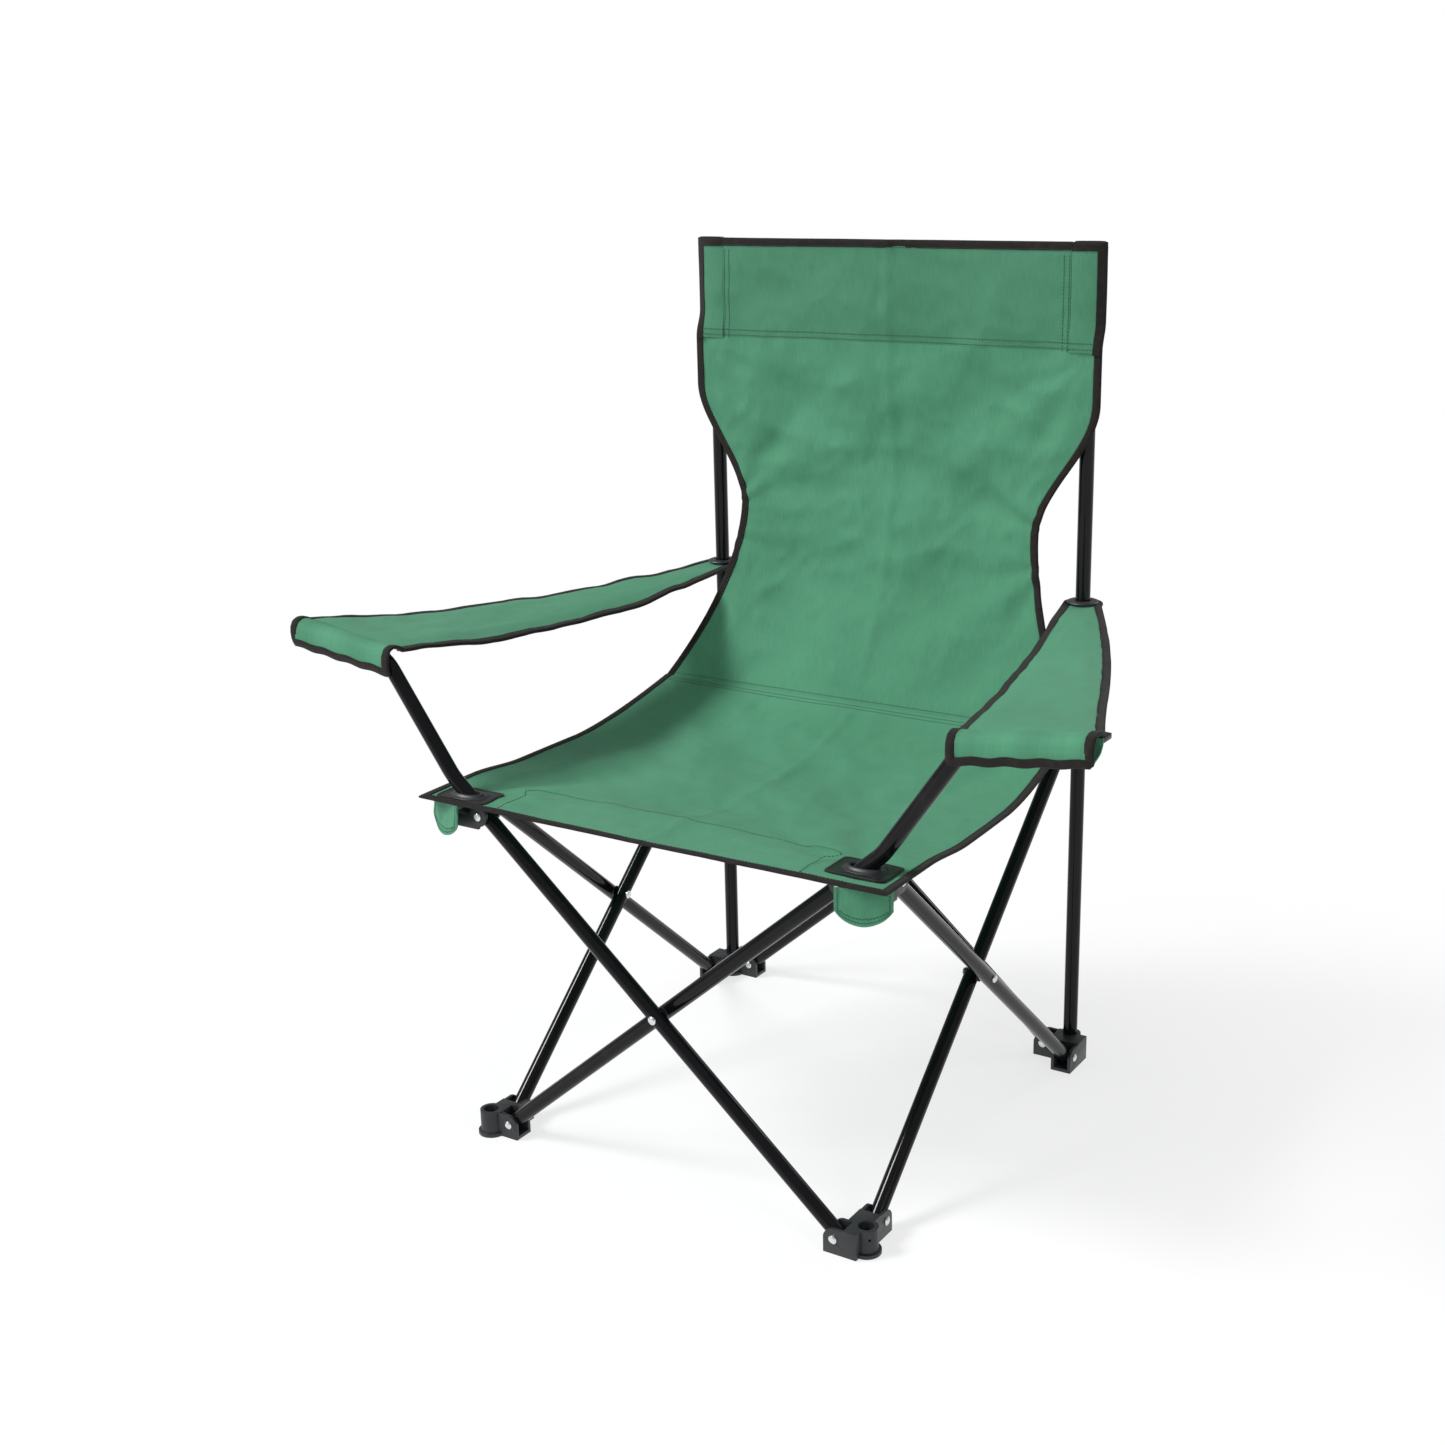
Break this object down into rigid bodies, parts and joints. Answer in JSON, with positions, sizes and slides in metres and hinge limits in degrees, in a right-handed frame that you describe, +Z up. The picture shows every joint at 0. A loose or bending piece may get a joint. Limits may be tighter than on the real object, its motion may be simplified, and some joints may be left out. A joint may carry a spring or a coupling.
{
  "type": "folding camp chair",
  "caption": "Folding chair: cross-braced steel tube frame that gathers to a bundle, with a slung cloth seat and back, cloth armrests and round-socket corner hubs.",
  "frame": {"origin": "on the floor under the middle of the chair's bounding box", "axes": "+Z up, -Y is the way a sitter faces, +X to the sitter's left"},
  "size_m": [0.897, 0.5461, 0.919],
  "materials": {
    "green_cloth": "woven polyester, matt",
    "black_webbing": "woven, matt",
    "black_paint": "glossy powder coat",
    "hub_plastic": "satin moulded",
    "grommet_plastic": "satin moulded",
    "rivet_steel": "bright zinc plated"
  },
  "bodies": {
    "left_post": {"foot_rear_left": "hub_plastic", "foot_rear_left_rivets": "rivet_steel", "post_left": "black_paint", "post_cap_left": "hub_plastic", "back_cloth": "green_cloth", "head_panel": "green_cloth", "head_pocket_left": "green_cloth"},
    "right_post": {"foot_rear_right": "hub_plastic", "foot_rear_right_rivets": "rivet_steel", "post_right": "black_paint", "post_cap_right": "hub_plastic", "head_pocket_right": "green_cloth"},
    "rear_outer": {"rear_tube_outer": "black_paint", "rear_pivot_rivet": "rivet_steel", "rear_pivot_washer": "hub_plastic"},
    "rear_inner": {"rear_tube_inner": "black_paint"},
    "left_outer": {"left_tube_outer": "black_paint", "left_pivot_rivet": "rivet_steel", "left_pivot_washer": "hub_plastic"},
    "left_inner": {"left_tube_inner": "black_paint"},
    "right_outer": {"right_tube_outer": "black_paint", "right_pivot_rivet": "rivet_steel", "right_pivot_washer": "hub_plastic"},
    "right_inner": {"right_tube_inner": "black_paint"},
    "left_arm": {"arm_tube_left": "black_paint", "arm_cap_left": "hub_plastic", "arm_sleeve_left": "green_cloth", "eyelet_left": "grommet_plastic", "front_pivot_rivet": "rivet_steel", "front_pivot_washer": "hub_plastic"},
    "right_arm": {"arm_tube_right": "black_paint", "arm_cap_right": "hub_plastic", "arm_sleeve_right": "green_cloth", "eyelet_right": "grommet_plastic"},
    "front_left_foot": {"foot_front_left": "hub_plastic", "foot_front_left_rivets": "rivet_steel"},
    "front_right_foot": {"foot_front_right": "hub_plastic", "foot_front_right_rivets": "rivet_steel"},
    "left_bracket": {"seat_bracket_left": "hub_plastic", "seat_bracket_left_rivets": "rivet_steel", "seat_front_hem": "green_cloth", "corner_patch_left": "black_webbing", "corner_tab_left": "green_cloth"},
    "right_bracket": {"seat_bracket_right": "hub_plastic", "seat_bracket_right_rivets": "rivet_steel", "corner_patch_right": "black_webbing", "corner_tab_right": "green_cloth"},
    "left_slider": {"slider_left": "hub_plastic", "slider_left_rivets": "rivet_steel"},
    "right_slider": {"slider_right": "hub_plastic", "slider_right_rivets": "rivet_steel"},
    "seat_front": {"seat_front_leaf": "green_cloth"},
    "seat_rear": {"seat_rear_leaf": "green_cloth", "seat_strap_left": "black_webbing", "seat_strap_right": "black_webbing"},
    "left_ring": {"post_ring_left": "grommet_plastic"},
    "right_ring": {"post_ring_right": "grommet_plastic"},
    "left_armrest": {"armrest_left": "green_cloth"},
    "right_armrest": {"armrest_right": "green_cloth"}
  },
  "joints": [
    {"name": "fold", "type": "hinge", "parent": "left_post", "child": "rear_outer", "pos_m": [-0.2075, 0.25748, 0.016], "axis": [0, -1, 0], "range_deg": [0, 40], "deforming": ["back_cloth", "head_panel", "head_pocket_left", "head_pocket_right"]},
    {"name": "rear_cross", "type": "hinge", "parent": "rear_outer", "child": "rear_inner", "pos_m": [0, 0.24873, 0.196], "axis": [0, 1, 0], "range_deg": [0, 80]},
    {"name": "right_post_foot", "type": "hinge", "parent": "rear_inner", "child": "right_post", "pos_m": [0.2075, 0.23997, 0.016], "axis": [0, -1, 0], "range_deg": [0, 40]},
    {"name": "left_slider_pivot", "type": "hinge", "parent": "rear_inner", "child": "left_slider", "pos_m": [-0.2075, 0.23997, 0.376], "axis": [0, -1, 0], "range_deg": [0, 40]},
    {"name": "right_slider_pivot", "type": "hinge", "parent": "rear_outer", "child": "right_slider", "pos_m": [0.2075, 0.25748, 0.376], "axis": [0, 1, 0], "range_deg": [0, 40]},
    {"name": "left_rear_foot", "type": "hinge", "parent": "left_post", "child": "left_outer", "pos_m": [-0.24175, 0.21322, 0.016], "axis": [-1, 0, 0], "range_deg": [0, 40]},
    {"name": "left_cross", "type": "hinge", "parent": "left_outer", "child": "left_inner", "pos_m": [-0.233, 0.00573, 0.196], "axis": [1, 0, 0], "range_deg": [0, 80]},
    {"name": "left_front_foot", "type": "hinge", "parent": "left_inner", "child": "front_left_foot", "pos_m": [-0.22425, -0.20178, 0.016], "axis": [-1, 0, 0], "range_deg": [0, 40]},
    {"name": "left_bracket_side", "type": "hinge", "parent": "left_outer", "child": "left_bracket", "pos_m": [-0.24175, -0.20178, 0.376], "axis": [1, 0, 0], "range_deg": [0, 40], "deforming": ["seat_front_hem", "corner_patch_left", "corner_patch_right", "corner_tab_left", "corner_tab_right"]},
    {"name": "right_rear_foot", "type": "hinge", "parent": "right_post", "child": "right_outer", "pos_m": [0.24175, 0.21322, 0.016], "axis": [-1, 0, 0], "range_deg": [0, 40]},
    {"name": "right_cross", "type": "hinge", "parent": "right_outer", "child": "right_inner", "pos_m": [0.233, 0.00573, 0.196], "axis": [1, 0, 0], "range_deg": [0, 80]},
    {"name": "right_front_foot", "type": "hinge", "parent": "right_inner", "child": "front_right_foot", "pos_m": [0.22425, -0.20178, 0.016], "axis": [-1, 0, 0], "range_deg": [0, 40]},
    {"name": "right_bracket_side", "type": "hinge", "parent": "right_outer", "child": "right_bracket", "pos_m": [0.24175, -0.20178, 0.376], "axis": [1, 0, 0], "range_deg": [0, 40]},
    {"name": "left_arm_pivot", "type": "hinge", "parent": "left_bracket", "child": "left_arm", "pos_m": [-0.2075, -0.24602, 0.376], "axis": [0, 1, 0], "range_deg": [0, 40], "deforming": ["eyelet_left", "eyelet_right", "arm_sleeve_left", "arm_sleeve_right"]},
    {"name": "right_arm_pivot", "type": "hinge", "parent": "right_bracket", "child": "right_arm", "pos_m": [0.2075, -0.22853, 0.376], "axis": [0, -1, 0], "range_deg": [0, 40]},
    {"name": "seat_front_fold", "type": "hinge", "parent": "left_bracket", "child": "seat_front", "pos_m": [0, -0.19928, 0.39075], "axis": [-1, 0, 0], "range_deg": [0, 88], "deforming": ["seat_front_leaf"]},
    {"name": "seat_rear_fold", "type": "hinge", "parent": "left_post", "child": "seat_rear", "pos_m": [0, 0.15873, 0.4155], "axis": [1, 0, 0], "range_deg": [0, 80], "deforming": ["seat_rear_leaf", "seat_strap_left", "seat_strap_right"]},
    {"name": "left_ring_slide", "type": "slide", "parent": "left_post", "child": "left_ring", "axis": [0, 0, 1], "range_m": [0, 0.0571]},
    {"name": "left_armrest_swing", "type": "hinge", "parent": "left_ring", "child": "left_armrest", "pos_m": [-0.233, 0.24873, 0.539], "axis": [-0.8118, 0.5827, 0.0375], "range_deg": [0, 55.08], "deforming": ["armrest_left"]},
    {"name": "right_ring_slide", "type": "slide", "parent": "right_post", "child": "right_ring", "axis": [0, 0, 1], "range_m": [0, 0.0571]},
    {"name": "right_armrest_swing", "type": "hinge", "parent": "right_ring", "child": "right_armrest", "pos_m": [0.233, 0.24873, 0.539], "axis": [-0.8404, -0.5402, -0.0444], "range_deg": [0, 57.11], "deforming": ["armrest_right"]}
  ],
  "couplings": [
    {"joint": "rear_cross", "follows": "fold", "ratio": 2},
    {"joint": "right_post_foot", "follows": "fold", "ratio": 1},
    {"joint": "left_slider_pivot", "follows": "fold", "ratio": 1},
    {"joint": "right_slider_pivot", "follows": "fold", "ratio": 1},
    {"joint": "left_rear_foot", "follows": "fold", "ratio": 1},
    {"joint": "left_cross", "follows": "fold", "ratio": 2},
    {"joint": "left_front_foot", "follows": "fold", "ratio": 1},
    {"joint": "left_bracket_side", "follows": "fold", "ratio": 1},
    {"joint": "right_rear_foot", "follows": "fold", "ratio": 1},
    {"joint": "right_cross", "follows": "fold", "ratio": 2},
    {"joint": "right_front_foot", "follows": "fold", "ratio": 1},
    {"joint": "right_bracket_side", "follows": "fold", "ratio": 1},
    {"joint": "left_arm_pivot", "follows": "fold", "ratio": 1},
    {"joint": "right_arm_pivot", "follows": "fold", "ratio": 1},
    {"joint": "seat_front_fold", "follows": "fold", "ratio": 2.2},
    {"joint": "seat_rear_fold", "follows": "fold", "ratio": 2},
    {"joint": "left_ring_slide", "follows": "fold", "m_per_rad": 0.081646},
    {"joint": "left_armrest_swing", "follows": "fold", "ratio": 1.3769},
    {"joint": "right_ring_slide", "follows": "fold", "m_per_rad": 0.081646},
    {"joint": "right_armrest_swing", "follows": "fold", "ratio": 1.4277}
  ]
}
